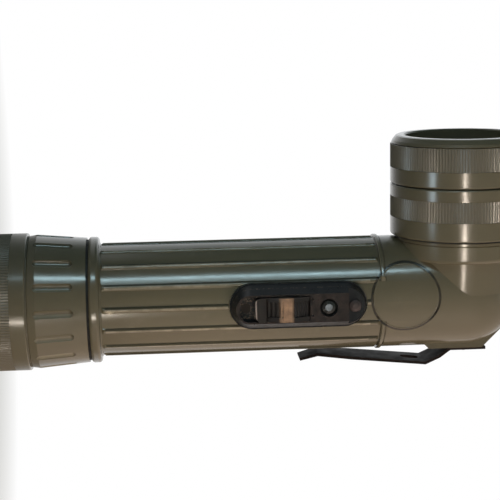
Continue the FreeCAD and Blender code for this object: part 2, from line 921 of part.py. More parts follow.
def makeSwitchRivets():
    rear, front = switchRivetSpots()
    domed = turned([
        (0, boreRadius + 0.1),
        (rivetShank, boreRadius + 0.1),
        (rivetShank, endStepX),
        (rivetHead, endStepX),
        (rivetHead * 0.85, endStepX + rivetDome * 0.6),
        (rivetHead * 0.4, endStepX + rivetDome),
        (0, endStepX + rivetDome),
    ])
    flush = turned([
        (0, boreRadius + 0.1),
        (rivetShank, boreRadius + 0.1),
        (rivetShank, trackFloorX - flushHeadThick),
        (flushHead, trackFloorX - flushHeadThick),
        (flushHead, trackFloorX),
        (0, trackFloorX),
    ])
    return Part.makeCompound([onSwitchSide(flush, rear), onSwitchSide(domed, front)])


# Centre line of the clip as (out from the seat, down from the head end)
def clipLine():
    return [
        (clipThick / 2, 0),
        (clipThick / 2, clipTabLength),
        (clipBendOut - clipThick / 2, clipBendDrop),
        (clipKneeOut - clipThick / 2, clipKneeDrop),
        (clipNeckOut - clipThick / 2, clipNeckDrop),
        (clipTipOut - clipThick / 2, clipTipDrop),
    ]


def makeClip():
    top = clipTopZ
    line = [V(0, clipSeat + out, top - drop) for out, drop in clipLine()]
    outer = offsetLine(line, clipThick / 2)
    inner = offsetLine(line, -clipThick / 2)
    points = outer + inner[::-1]
    points = [V(-clipWidth / 2, p.y, p.z) for p in points]
    strip = Part.Face(Part.makePolygon(points + points[:1])).extrude(V(clipWidth, 0, 0))
    tipZ = top - clipTipDrop
    clipReach = clipKneeOut + clipThick
    plan = [
        V(-clipWidth / 2, 0, top + 1),
        V(clipWidth / 2, 0, top + 1),
        V(clipWidth / 2, 0, tipZ + clipTaper),
        V(clipTipHalf, 0, tipZ - 1),
        V(-clipTipHalf, 0, tipZ - 1),
        V(-clipWidth / 2, 0, tipZ + clipTaper),
    ]
    outline = Part.Face(Part.makePolygon(plan + plan[:1])).extrude(V(0, clipSeat + clipReach, 0))
    clip = strip.common(outline)
    slotTop = top - clipKneeDrop - clipSlotDrop
    slot = slotBlock(slotTop - clipSlotLength, slotTop, clipSlotHalf, 0, clipReach)
    slot.rotate(V(0, 0, 0), V(0, 0, 1), 90)
    slot.translate(V(0, clipSeat, 0))
    holes = [slot]
    for side in (-1, 1):
        hole = rod(rivetShank, 0, clipSeat + 2 * clipThick)
        hole.rotate(V(0, 0, 0), V(1, 0, 0), -90)
        hole.translate(V(side * clipRivetHalf, 0, top - clipRivetDrop))
        holes.append(hole)
    return clip.cut(holes)


# Points of a bent strip's face, a set distance to one side of its centre line
def offsetLine(line, distance):
    shifted = []
    for index, point in enumerate(line):
        before = line[max(index - 1, 0)]
        after = line[min(index + 1, len(line) - 1)]
        first = (point - before) if index > 0 else (after - point)
        second = (after - point) if index < len(line) - 1 else first
        first.normalize()
        second.normalize()
        normalA = V(0, -first.z, first.y)
        normalB = V(0, -second.z, second.y)
        normal = normalA + normalB
        normal.normalize()
        stretch = distance / max(0.4, normal.dot(normalA))
        shifted.append(point + normal * stretch)
    return shifted


def makeClipRivets():
    rivets = []
    seat = clipSeat + clipThick
    inner = boreRadius - 0.5
    for side in (-1, 1):
        rivet = turned([
            (0, inner - 0.6),
            (rivetShank, inner - 0.6),
            (rivetShank, seat),
            (clipRivetHead, seat),
            (clipRivetHead * 0.85, seat + clipRivetDome * 0.6),
            (clipRivetHead * 0.4, seat + clipRivetDome),
            (0, seat + clipRivetDome),
        ])
        rivet.rotate(V(0, 0, 0), V(1, 0, 0), -90)
        rivet.translate(V(side * clipRivetHalf, 0, clipTopZ - clipRivetDrop))
        rivets.append(rivet)
    return Part.makeCompound(rivets)


def makeHeadGasket():
    return onLensAxis(tube(collarRadius - headGasketInset, headNeckRadius + runFit, collarEnd, lensRingStart))


def makeLensRing():
    knurlStart = lensRingStart + lensRingBandRear
    knurlEnd = knurlStart + lensRingKnurl
    bore = headNeckRadius + runFit
    ring = turned([
        (bore, lensRingStart),
        (ringRadius, lensRingStart),
        (ringRadius, knurlStart),
        (ringRadius - knurlInset, knurlStart),
        (ringRadius - knurlInset, knurlEnd),
        (ringRadius, knurlEnd),
        (ringRadius, lensRingEnd),
        (filterNeckRadius, lensRingEnd),
        (filterNeckRadius, filterNeckEnd),
        (openingRadius, filterNeckEnd),
        (openingRadius, lensFront),
        (bore, lensFront),
    ])
    ring = ring.makeFillet(ringEdge, rims(ring, [(ringRadius, lensRingStart), (ringRadius, lensRingEnd)]))
    return onLensAxis(ring)


def makeLensGasket():
    return onLensAxis(tube(lensRadius, openingRadius + 0.2, rimFront, lensBack))


def makeLens():
    lens = rod(lensRadius, lensBack, lensFront)
    return onLensAxis(lens)


# Silvered bowl on a parabola, with a rim at its mouth and a sleeve for the bulb behind it
def makeReflector():
    def distance(radius):
        return vertexDistance + radius ** 2 / (4 * focalLength)

    steps = 7
    inner = []
    for index in range(steps + 1):
        radius = bulbHole + (mouthRadius - bulbHole) * index / steps
        inner.append(V(radius, 0, distance(radius)))
    outer = [V(p.x + reflectorWall, 0, p.z - reflectorWall * 0.3) for p in inner]
    face = Part.BSplineCurve()
    face.interpolate(inner)
    back = Part.BSplineCurve()
    back.interpolate(outer[::-1])
    mouth = inner[-1]
    rimRadius = lensRadius - 0.1
    corners = [
        mouth,
        V(mouthRadius, 0, rimFront),
        V(rimRadius, 0, rimFront),
        V(rimRadius, 0, neckFront),
        V(mouthRadius + reflectorWall, 0, neckFront),
        outer[-1],
    ]
    edges = [face.toShape()]
    for first, second in zip(corners[:-1], corners[1:]):
        edges.append(Part.makeLine(first, second))
    edges.append(back.toShape())
    edges.append(Part.makeLine(outer[0], inner[0]))
    bowl = Part.Face(Part.Wire(edges)).revolve(V(0, 0, 0), V(0, 0, 1), 360)
    front = distance(bulbHole) + 0.3
    sleeve = turned([
        (bulbHole, bulbFlangeFront),
        (bulbHole, front - 0.3),
        (bulbHole + reflectorWall, front),
        (sleeveRadius, front + 0.2),
        (sleeveRadius, front - sleeveLength),
        (bulbFlangeRadius + runFit, front - sleeveLength),
        (bulbFlangeRadius + runFit, bulbFlangeFront),
    ])
    return onLensAxis(bowl.fuse(sleeve))


def bulbGlassProfile(scale):
    tip = glassLength * scale
    return [
        (0, 0),
        (glassRadius * 0.82, 0),
        (glassRadius * 0.9, 2.0),
        (glassRadius, 5.5),
        (glassRadius, tip - 4.6),
        (glassRadius * 0.9, tip - 2.4),
        (glassRadius * 0.62, tip - 0.8),
        (glassRadius * 0.25, tip),
        (0, tip),
    ]


def makeBulbGlass():
    glass = turned(bulbGlassProfile(1.0))
    glass.translate(V(0, 0, bulbFlangeFront))
    return glass


def makeBulbBase():
    shellBack = bulbFlangeBack - bulbShellLength
    return turned([
        (0, bulbFlangeFront),
        (bulbFlangeRadius, bulbFlangeFront),
        (bulbFlangeRadius, bulbFlangeBack),
        (bulbShellRadius, bulbFlangeBack),
        (bulbShellRadius, shellBack + 1.0),
        (bulbShellRadius - 0.8, shellBack),
        (2.2, shellBack),
        (1.6, bulbTipEnd),
        (0, bulbTipEnd),
    ])


def makeBulbHolder():
    sleeveBack = bulbSleeveBack()
    front = sleeveBack + holderOverlap
    inner = sleeveRadius + runFit
    outer = inner + holderWall
    rear = holderRear()
    bore = bulbShellRadius + loosePlay
    return onLensAxis(turned([
        (inner, front),
        (outer, front),
        (outer, sleeveBack - 1.5),
        (outer - 1.2, sleeveBack - 3.0),
        (outer - 1.2, rear),
        (contactRadius * 0.6, rear),
        (contactRadius * 0.6, rear + holderBack),
        (bore, rear + holderBack),
        (bore, sleeveBack - 0.3),
        (inner, sleeveBack - 0.3),
    ]))


def bulbSleeveBack():
    return vertexDistance + bulbHole ** 2 / (4 * focalLength) + 0.3 - sleeveLength


def makeHolderContact():
    rear = holderRear()
    return onLensAxis(turned([
        (0, bulbTipEnd),
        (contactRadius * 0.6, bulbTipEnd),
        (contactRadius * 0.6, rear),
        (contactRadius, rear),
        (contactRadius, rear - contactHeadThick),
        (0, rear - contactHeadThick),
    ]))


def makeFilterGasket():
    return onLensAxis(tube(filterNeckRadius - 0.1, openingRadius + 0.2, filterNeckEnd, filterLip))


def makeFilterRing():
    knurlStart = filterRingStart + filterRingBand
    knurlEnd = knurlStart + filterRingKnurl
    bore = filterNeckRadius + runFit
    nose = filterRingEnd
    ring = turned([
        (bore, filterRingStart),
        (ringRadius, filterRingStart),
        (ringRadius, knurlStart),
        (ringRadius - knurlInset, knurlStart),
        (ringRadius - knurlInset, knurlEnd),
        (ringRadius - knurlInset * 0.5, knurlEnd + 0.35),
        (ringRadius - 0.7, knurlEnd + 1.3),
        (filterNoseRadius + 0.7, nose - 0.25),
        (filterNoseRadius, nose),
        (openingRadius + 0.5, nose),
        (openingRadius, nose - 0.5),
        (openingRadius, filterLip),
        (bore, filterLip),
    ])
    ring = ring.makeFillet(ringEdge, rims(ring, [(ringRadius, filterRingStart)]))
    return onLensAxis(ring)


def makeEndGasket():
    return tube(endCapRadius - endGasketInset, capNeckRadius + runFit, endCapTop, shoulderZ)


def makeEndCap():
    bore = capNeckRadius + runFit
    cap = turned([
        (0, 0),
        (tailBossRadius, 0),
        (tailBossRadius, ringRecessDepth),
        (ringRecessRadius, ringRecessDepth),
        (ringRecessRadius, 0),
        (endCapRadius - endCapChamfer, 0),
        (endCapRadius, endCapChamfer),
        (endCapRadius, endKnurlLow),
        (endKnurlRadius, endKnurlLow),
        (endKnurlRadius, endKnurlHigh),
        (endCapRadius, endKnurlHigh),
        (endCapRadius, endCapTop),
        (bore, endCapTop),
        (bore, endFloorTop),
        (0, endFloorTop),
    ])
    cap = cap.makeFillet(endCapRound, rims(cap, [(endCapRadius, endCapTop)]))
    holes = []
    for side in (-1, 1):
        hole = rod(strapRivet, ringRecessDepth - 1, endFloorTop + 1)
        hole.translate(V(0, side * strapRivetPlace() - hangerPivot, 0))
        holes.append(hole)
    return cap.cut(holes)


def makeStoredFilter(index):
    low = endFloorTop + index * filterThick
    return rod(filterRadius, low, low + filterThick)


def spareAxisZ():
    return cradleLow + cradleHeight / 2 - 0.05


def spareShift():
    return (glassLength + bulbFlangeThick + bulbShellLength + bulbTipLength) / 2


# The spare bulb lies across the tail, its glass towards +X
def layAcross(solid):
    laid = solid.copy()
    laid.translate(V(0, 0, -bulbTipEnd - spareShift()))
    laid.rotate(V(0, 0, 0), V(0, 1, 0), 90)
    laid.translate(V(0, 0, spareAxisZ()))
    return laid


# Rubber block in the tail cap's neck, cut away from below to take the spare bulb
def makeCradle():
    outer = capNeckRadius - capNeckWall - loosePlay
    cradle = rod(outer, cradleLow, capFloorLow)
    spareZ = spareAxisZ()
    reach = spareShift() + loosePlay
    half = bulbFlangeRadius + 0.1
    passage = block(-reach, reach, -half, half, cradleLow - 1, spareZ)
    crown = Part.makeCylinder(half, 2 * reach, V(-reach, 0, spareZ), V(1, 0, 0))
    roof = block(-reach, reach, -half, half, capFloorLow, capFloorLow + half)
    return cradle.cut(passage.fuse(crown).cut(roof))


# Wire ring, straight along X at its pivot and closed round towards +Y
def makeHanger():
    corner = hangerBend
    points = [
        V(-hangerHalf + corner, 0, hangerDrop),
        V(hangerHalf - corner, 0, hangerDrop),
        V(hangerHalf, corner, hangerDrop),
        V(hangerHalf, hangerReach - corner, hangerDrop),
        V(hangerHalf - corner, hangerReach, hangerDrop),
        V(-hangerHalf + corner, hangerReach, hangerDrop),
        V(-hangerHalf, hangerReach - corner, hangerDrop),
        V(-hangerHalf, corner, hangerDrop),
    ]
    far = math.sqrt(0.5) * corner
    centres = [
        V(hangerHalf - corner, corner, hangerDrop),
        V(hangerHalf - corner, hangerReach - corner, hangerDrop),
        V(-hangerHalf + corner, hangerReach - corner, hangerDrop),
        V(-hangerHalf + corner, corner, hangerDrop),
    ]
    outward = [V(1, -1, 0), V(1, 1, 0), V(-1, 1, 0), V(-1, -1, 0)]
    edges = []
    for index in range(4):
        edges.append(Part.makeLine(points[2 * index], points[2 * index + 1]))
        direction = outward[index]
        direction.normalize()
        middle = centres[index] + direction * corner
        end = points[(2 * index + 2) % 8]
        edges.append(Part.Arc(points[2 * index + 1], middle, end).toShape())
    section = Part.Wire(Part.makeCircle(hangerWire, points[0], V(1, 0, 0)))
    ring = Part.Wire(edges).makePipeShell([section], True, True)
    ring.translate(V(0, -hangerPivot, 0))
    return ring


def strapRivetPlace():
    return (hangerWire + runFit + strapThick + strapReach) / 2


# Strap that wraps the ring's straight side and lies flat on the recess each side of it
def makeStrap():
    wrap = hangerWire + runFit
    outer = wrap + strapThick
    saddle = Part.makeCylinder(outer, 2 * strapHalf, V(-strapHalf, 0, hangerDrop), V(1, 0, 0))
    sides = block(-strapHalf, strapHalf, -outer, outer, hangerDrop, ringRecessDepth)
    wingLow = ringRecessDepth - strapThick
    wings = block(-strapHalf, strapHalf, -strapReach, strapReach, wingLow, ringRecessDepth)
    hollow = Part.makeCylinder(wrap, 4 * strapHalf, V(-2 * strapHalf, 0, hangerDrop), V(1, 0, 0))
    slot = block(-2 * strapHalf, 2 * strapHalf, -wrap, wrap, hangerDrop, ringRecessDepth + 1)
    strap = saddle.multiFuse([sides, wings])
    strap = strap.common(block(-strapHalf, strapHalf, -strapReach, strapReach, 0, ringRecessDepth))
    strap = strap.cut(hollow.fuse(slot))
    holes = []
    for side in (-1, 1):
        hole = rod(strapRivet, 0, ringRecessDepth)
        hole.translate(V(0, side * strapRivetPlace(), 0))
        holes.append(hole)
    strap = strap.cut(holes)
    strap.translate(V(0, -hangerPivot, 0))
    return strap


def makeHangerRivets():
    rivets = []
    for side in (-1, 1):
        head = ringRecessDepth - strapThick
        rivet = turned([
            (0, head - 0.6),
            (strapRivet * 1.2, head - 0.6),
            (strapRivet * 1.6, head - 0.2),
            (strapRivet * 1.6, head),
            (strapRivet, head),
            (strapRivet, endFloorTop),
            (0, endFloorTop),
        ])
        rivet.translate(V(0, side * strapRivetPlace() - hangerPivot, 0))
        rivets.append(rivet)
    return Part.makeCompound(rivets)


bulbGlass = makeBulbGlass()
bulbBase = makeBulbBase()
pieces = {
    "case": makeCase(),
    "tail_gasket": makeTailGasket(),
    "tail_cap": makeTailCap(),
    "tail_contact": makeTailContact(),
    "battery_spring": makeBatterySpring(),
    "rear_cell": makeCell(cellLow),
    "front_cell": makeCell(cellLow + cellHeight),
    "contact_disc": makeContactDisc(),
    "centre_rivet": makeCentreRivet(),
    "top_leaf": makeTopLeaf(),
    "lower_strip": makeLowerStrip(),
    "upper_strip": makeUpperStrip(),
    "switch_plate": makeSwitchPlate(),
    "switch_slider": makeSlider(),
    "slider_contact": makeSliderContact(),
    "morse_button": makeButton(),
    "signal_leaf": makeSignalLeaf(),
    "switch_rivets": makeSwitchRivets(),
    "belt_clip": makeClip(),
    "clip_rivets": makeClipRivets(),
    "head_gasket": makeHeadGasket(),
    "lens_ring": makeLensRing(),
    "lens_gasket": makeLensGasket(),
    "lens": makeLens(),
    "reflector": makeReflector(),
    "bulb_glass": onLensAxis(bulbGlass),
    "bulb_base": onLensAxis(bulbBase),
    "bulb_holder": makeBulbHolder(),
    "holder_contact": makeHolderContact(),
    "filter_gasket": makeFilterGasket(),
    "filter_ring": makeFilterRing(),
    "end_gasket": makeEndGasket(),
    "end_cap": makeEndCap(),
    "red_filter": makeStoredFilter(0),
    "blue_filter": makeStoredFilter(1),
    "diffuser_filter": makeStoredFilter(2),
    "bulb_cradle": makeCradle(),
    "spare_bulb_glass": layAcross(bulbGlass),
    "spare_bulb_base": layAcross(bulbBase),
    "hanger_ring": makeHanger(),
    "hanger_strap": makeStrap(),
    "hanger_rivets": makeHangerRivets(),
}

for name, shape in pieces.items():
    shape.exportStep("parts/" + name + ".step")
    print(name, len(shape.Solids), round(shape.Volume, 1), shape.isValid())
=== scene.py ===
import math
import bpy
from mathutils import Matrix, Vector


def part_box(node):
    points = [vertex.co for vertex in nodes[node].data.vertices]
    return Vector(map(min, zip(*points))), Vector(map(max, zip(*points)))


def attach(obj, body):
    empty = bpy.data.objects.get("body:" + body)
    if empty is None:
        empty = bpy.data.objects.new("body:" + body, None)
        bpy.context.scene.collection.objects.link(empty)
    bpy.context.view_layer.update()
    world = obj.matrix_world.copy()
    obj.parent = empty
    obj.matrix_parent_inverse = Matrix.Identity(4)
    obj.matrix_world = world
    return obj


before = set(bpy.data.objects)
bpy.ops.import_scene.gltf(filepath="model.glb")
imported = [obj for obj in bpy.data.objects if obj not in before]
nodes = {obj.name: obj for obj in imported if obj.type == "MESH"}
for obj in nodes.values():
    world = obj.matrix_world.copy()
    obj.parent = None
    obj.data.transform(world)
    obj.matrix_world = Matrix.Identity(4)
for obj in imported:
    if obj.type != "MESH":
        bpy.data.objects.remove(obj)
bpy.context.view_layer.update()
print("frame loaded,", len(nodes), "parts")

mm = 0.001
lensAxis = 0.177          # height of the lens axis above the tail face


camera = {
    "place": (0.4809310, -0.0993413, 0.0691723),
    "turn": (156.409, -85.827, 13.814),      # degrees
    "lens": 100.276,
    "sensor": 36,
    "near": 0.01,
}


def addCamera(look):
    data = bpy.data.cameras.new("camera")
    data.lens = look["lens"]
    data.sensor_width = look["sensor"]
    data.clip_start = look["near"]
    body = bpy.data.objects.new("camera", data)
    body.location = look["place"]
    body.rotation_euler = [math.radians(angle) for angle in look["turn"]]
    bpy.context.scene.collection.objects.link(body)
    bpy.context.scene.camera = body


addCamera(camera)
print("camera")


# A small wrapper that keeps the node building short
class Nodes:
    def __init__(self, tree, space="Object"):
        self.tree = tree
        self.place = self.add("TexCoord").outputs[space]

    def add(self, kind, **settings):
        node = self.tree.nodes.new("ShaderNode" + kind)
        for key, value in settings.items():
            setattr(node, key, value)
        return node

    def link(self, start, end):
        self.tree.links.new(start, end)

    # Puts a plain value on a socket, or links an output to it
    def feed(self, socket, value):
        if isinstance(value, tuple):
            socket.default_value = (*value, 1)
        elif isinstance(value, (int, float)):
            socket.default_value = value
        else:
            self.link(value, socket)

    def axes(self, vector=None):
        node = self.add("SeparateXYZ")
        self.link(vector or self.place, node.inputs["Vector"])
        return [node.outputs[axis] for axis in "XYZ"]

    def stretched(self, scale):
        node = self.add("Mapping")
        node.inputs["Scale"].default_value = scale
        self.link(self.place, node.inputs["Vector"])
        return node.outputs["Vector"]

    def noise(self, scale, detail=4.0, rough=0.6, vector=None):
        node = self.add("TexNoise")
        node.inputs["Scale"].default_value = scale
        node.inputs["Detail"].default_value = detail
        node.inputs["Roughness"].default_value = rough
        self.link(vector or self.place, node.inputs["Vector"])
        return node.outputs["Fac"]

    def ramp(self, value, colours):
        node = self.add("ValToRGB")
        stops = node.color_ramp.elements
        while len(stops) < len(colours):
            stops.new(0.5)
        for index, (stop, colour) in enumerate(zip(stops, colours)):
            stop.position = index / (len(colours) - 1)
            stop.color = (*colour, 1)
        self.link(value, node.inputs["Fac"])
        return node.outputs["Color"]

    def spread(self, value, low, high, fromLow=0.3, fromHigh=0.7):
        node = self.add("MapRange")
        node.inputs["From Min"].default_value = fromLow
        node.inputs["From Max"].default_value = fromHigh
        node.inputs["To Min"].default_value = low
        node.inputs["To Max"].default_value = high
        self.link(value, node.inputs["Value"])
        return node.outputs["Result"]

    def blend(self, amount, first, second):
        node = self.add("Mix", data_type="RGBA")
        self.link(amount, node.inputs["Factor"])
        self.feed(node.inputs[6], first)
        self.feed(node.inputs[7], second)
        return node.outputs[2]

    def maths(self, kind, first, second=0.0):
        node = self.add("Math", operation=kind)
        self.feed(node.inputs[0], first)
        self.feed(node.inputs[1], second)
        return node.outputs["Value"]

    # 1 between two heights in mm, and 0 elsewhere
    def between(self, value, low, high):
        return self.maths("MULTIPLY", self.maths("GREATER_THAN", value, low * mm),
                          self.maths("LESS_THAN", value, high * mm))

    # 1 near a place in mm, falling to 0 from the core's share of the half width to the half width
    def near(self, value, middle, half, core):
        off = self.maths("ABSOLUTE", self.maths("SUBTRACT", value, middle * mm))
        return self.spread(off, 1, 0, half * core * mm, half * mm)

    def bump(self, height, strength, depth, under=None):
        node = self.add("Bump")
        node.inputs["Strength"].default_value = strength
        node.inputs["Distance"].default_value = depth
        self.link(height, node.inputs["Height"])
        if under:
            self.link(under, node.inputs["Normal"])
        return node.outputs["Normal"]


class Finish(Nodes):
    def __init__(self, name):
        self.material = bpy.data.materials.new(name)
        self.material.use_nodes = True
        super().__init__(self.material.node_tree)
        self.shader = self.tree.nodes["Principled BSDF"]

    def put(self, name, value):
        self.feed(self.shader.inputs[name], value)


# Colours are linear RGB, noises are (scale, detail, roughness), and bump depths are in metres
plasticGrain = {
    "broad": (38, 5),
    "fine": (900, 3),
    "fineDepth": 0.00006,
    "rub": (140, 6, 0.7),
    "dustShare": 0.35,
    "dustFrom": 0.58,
    "dustTo": 0.80,
    "lines": (260, 2, 0.5),
    "along": (1, 1, 0.05),        # stretch of the fine lines along the barrel
    "lineDepth": 0.00004,
    "shine": 0.55,
    "coat": 0.12,
    "coatRough": 0.12,
}
olivePlastic = {
    "tone": (0.098, 0.081, 0.051),
    "dark": (0.086, 0.073, 0.046),
    "dust": (0.13, 0.110, 0.075),
    "gloss": (0.17, 0.25),
    "grain": 0.05,
    "scratch": 0.10,
}
mark = {"across": -1.2, "height": 153.7}        # middle of the head's round mark
# Painted shade laid into the round mark's groove, darker than the plastic round it
markGrooveShade = dict(mark, radius=11.75, half=0.5, core=0.5, tone=(0.022, 0.018, 0.012))
# Painted highlight: pale patches along the rib crests
crestHighlight = {
    "from": 19.72,
    "to": 19.98,
    "low": 51.0,
    "high": 141.5,
    "share": 0.75,
    "patches": (160, 5),
    "patchLeast": 0.35,
    "patchFrom": 0.4,
    "patchTo": 0.6,
    "tone": (0.25, 0.21, 0.155),
}
# Painted shade: rib flanks leaning towards the lens side are darkened, and made rougher
ribFlankShade = {
    "low": 51.0,
    "high": 144.5,
    "radius": 20.0,
    "leanFrom": 0.12,
    "leanTo": 0.30,
    "tone": (0.048, 0.043, 0.030),
    "rough": 0.45,
    "shine": 0.10,
}
# Painted highlight: flute flanks leaning towards the lens side are lightened, and made rougher
fluteFlankHighlight = {
    "low": 26.0,
    "high": 44.0,
    "radius": 23.0,
    "leanFrom": 0.12,
    "leanTo": 0.35,
    "tone": (0.22, 0.19, 0.14),
    "rough": 0.30,
    "shine": 0.10,
}
chip = {
    "place": (19.9, 0.4, 52.6),
    "reach": 1.6,
    "core": 0.3,
    "specks": (2500, 3),
    "speckLeast": 0.2,
    "speckFrom": 0.4,
    "speckTo": 0.6,
    "tone": (0.42, 0.36, 0.26),
}
plastics = {
    "olivePlastic": olivePlastic,
    "casePlastic": dict(olivePlastic, ring=markGrooveShade, chip=chip, crest=crestHighlight, flank=ribFlankShade),
    "capPlastic": dict(olivePlastic, flank=fluteFlankHighlight),
    # Painted light: a lighter copy of the olive plastic for the knurls, offsetting the shade between their
    # ridges
    "knurlLightenedPlastic": dict(olivePlastic, tone=(0.112, 0.096, 0.070), dark=(0.098, 0.084, 0.060),
                         gloss=(0.30, 0.40)),
    "blackPlastic": {
        "tone": (0.020, 0.018, 0.018),
        "dark": (0.012, 0.011, 0.012),
        "dust": (0.085, 0.065, 0.052),
        "gloss": (0.30, 0.50),
        "grain": 0.12,
        "scratch": 0.12,
    },
}


# Distance of two coordinates from their origin
def reachOf(made, first, second):
    squares = made.maths("ADD", made.maths("MULTIPLY", first, first), made.maths("MULTIPLY", second, second))
    return made.maths("SQRT", squares)


# Painted shade: darkening in the round mark's groove, on the +X side only
def ringGrooveShadeShare(made, ring):
    x, y, z = made.axes()
    across = made.maths("SUBTRACT", y, ring["across"] * mm)
    up = made.maths("SUBTRACT", z, ring["height"] * mm)
    near = made.near(reachOf(made, across, up), ring["radius"], ring["half"], ring["core"])
    return made.maths("MULTIPLY", near, made.maths("GREATER_THAN", x, 0.0))


# Painted highlight: the barrel's rib crests lightened in pale patches, standing in for the bright lines along
# them
def crestHighlightShare(made, crest):
    x, y, z = made.axes()
    raised = made.spread(reachOf(made, x, y), 0, crest["share"], crest["from"] * mm, crest["to"] * mm)
    ribbed = made.maths("MULTIPLY", raised, made.between(z, crest["low"], crest["high"]))
    patchy = made.spread(made.noise(*crest["patches"]), crest["patchLeast"], 1, crest["patchFrom"],
                         crest["patchTo"])
    return made.maths("MULTIPLY", ribbed, patchy)


# The flanks of ribs and flutes that lean towards the lens side: painted shade on the ribs' flanks and a
# painted highlight on the flutes' flanks, both also made rougher
def flankPaintedLightShare(made, flank):
    x, y, z = made.axes()
    normalX, normalY, normalZ = made.axes(made.add("NewGeometry").outputs["Normal"])
    lean = made.maths("SUBTRACT", made.maths("MULTIPLY", y, normalX), made.maths("MULTIPLY", x, normalY))
    radius = flank["radius"] * mm
    share = made.spread(lean, 0, 1, flank["leanFrom"] * radius, flank["leanTo"] * radius)
    return made.maths("MULTIPLY", share, made.between(z, flank["low"], flank["high"]))


# A chipped spot on a rib
def chipShare(made, spot):
    far = made.add("VectorMath", operation="DISTANCE")
    made.link(made.place, far.inputs[0])
    far.inputs[1].default_value = [value * mm for value in spot["place"]]
    near = made.near(far.outputs["Value"], 0, spot["reach"], spot["core"])
    specks = made.spread(made.noise(*spot["specks"]), spot["speckLeast"], 1, spot["speckFrom"],
                         spot["speckTo"])
    return made.maths("MULTIPLY", near, specks)


def plastic(name, look):
    grain = plasticGrain
    made = Finish(name)
    rub = made.noise(*grain["rub"])
    tone = made.blend(made.spread(made.noise(*grain["broad"]), 0, 1), look["dark"], look["tone"])
    dusty = made.spread(rub, 0, grain["dustShare"], grain["dustFrom"], grain["dustTo"])
    surface = made.blend(dusty, tone, look["dust"])
    if "chip" in look:
        surface = made.blend(chipShare(made, look["chip"]), surface, look["chip"]["tone"])
    # Painted highlight along the rib crests
    if "crest" in look:
        surface = made.blend(crestHighlightShare(made, look["crest"]), surface, look["crest"]["tone"])
    rough = made.spread(rub, *look["gloss"])
    made.put("Specular IOR Level", grain["shine"])
    made.put("Coat Weight", grain["coat"])
    made.put("Coat Roughness", grain["coatRough"])
    # Painted light on the leaning flanks: painted shade on the ribs, a painted highlight on the flutes
    if "flank" in look:
        flank = look["flank"]
        share = flankPaintedLightShare(made, flank)
        surface = made.blend(share, surface, flank["tone"])
        rough = made.maths("ADD", rough, made.maths("MULTIPLY", share, flank["rough"]))
        made.put("Specular IOR Level", made.spread(share, grain["shine"], flank["shine"], 0, 1))
        made.put("Coat Weight", made.spread(share, grain["coat"], 0, 0, 1))
    # Painted shade in the round mark's groove
    if "ring" in look:
        surface = made.blend(ringGrooveShadeShare(made, look["ring"]), surface, look["ring"]["tone"])
    made.put("Base Color", surface)
    made.put("Roughness", rough)
    skin = made.bump(made.noise(*grain["fine"]), look["grain"], grain["fineDepth"])
    lines = made.noise(*grain["lines"], made.stretched(grain["along"]))
    made.put("Normal", made.bump(lines, look["scratch"], grain["lineDepth"], skin))
    return made.material


metalGrain = {
    "stain": (85, 6, 0.65),
    "polish": (220, 5),
    "brushed": (1500, 2, 0.5),
    "strength": 0.08,
    "depth": 0.00004,
}
metals = {
    "blackSteel": {
        "tone": (0.021, 0.0145, 0.0130),
        "dark": (0.009, 0.0065, 0.0058),
        "metal": 0.0,
        "gloss": (0.45, 0.65),
        "brush": (1, 1, 0.06),
        "shine": 0.06,
    },
    "rivetSteel": {
        "tone": (0.085, 0.066, 0.064),
        "dark": (0.040, 0.032, 0.031),
        "metal": 0.5,
        "gloss": (0.26, 0.46),
        "brush": (1, 1, 0.2),
        "shine": 0.5,
        "dustyBelow": 100.0,          # the rivet in the switch's track lies under dust
        "dusty": (0.020, 0.015, 0.013),
    },
    "brightSteel": {
        "tone": (0.56, 0.56, 0.55),
        "dark": (0.36, 0.36, 0.36),
        "metal": 1.0,
        "gloss": (0.16, 0.34),
        "brush": (1, 1, 0.08),
        "shine": 0.5,
    },
    "brass": {
        "tone": (0.70, 0.50, 0.22),
        "dark": (0.42, 0.27, 0.11),
        "metal": 1.0,
        "gloss": (0.20, 0.38),
        "brush": (1, 1, 0.08),
        "shine": 0.5,
    },
    "silvered": {
        "tone": (0.90, 0.91, 0.92),
        "dark": (0.80, 0.81, 0.83),
        "metal": 1.0,
        "gloss": (0.04, 0.09),
        "brush": (1, 1, 1),
        "shine": 0.5,
    },
}


def metal(name, look):
    grain = metalGrain
    made = Finish(name)
    surface = made.blend(made.spread(made.noise(*grain["stain"]), 0, 1), look["dark"], look["tone"])
    if "dusty" in look:
        x, y, z = made.axes()
        surface = made.blend(made.maths("LESS_THAN", z, look["dustyBelow"] * mm), surface, look["dusty"])
    made.put("Base Color", surface)
    made.put("Metallic", look["metal"])
    made.put("Specular IOR Level", look["shine"])
    made.put("Roughness", made.spread(made.noise(*grain["polish"]), *look["gloss"]))
    brushed = made.noise(*grain["brushed"], made.stretched(look["brush"]))
    made.put("Normal", made.bump(brushed, grain["strength"], grain["depth"]))
    return made.material


glassGrain = {"index": 1.5, "haze": (120, 4), "waves": (60, 2), "strength": 0.03, "depth": 0.00008}
glasses = {
    "clearGlass": {"tint": (0.98, 0.99, 0.99), "haze": (0.0, 0.05)},
    "redGlass": {"tint": (0.62, 0.02, 0.015), "haze": (0.03, 0.10)},
    "blueGlass": {"tint": (0.03, 0.10, 0.60), "haze": (0.03, 0.10)},
}


def glass(name, look):
    grain = glassGrain
    made = Finish(name)
    made.put("Base Color", look["tint"])
    made.put("Transmission Weight", 1.0)
    made.put("IOR", grain["index"])
    made.put("Roughness", made.spread(made.noise(*grain["haze"]), *look["haze"]))
    made.put("Normal", made.bump(made.noise(*grain["waves"]), grain["strength"], grain["depth"]))
    return made.material


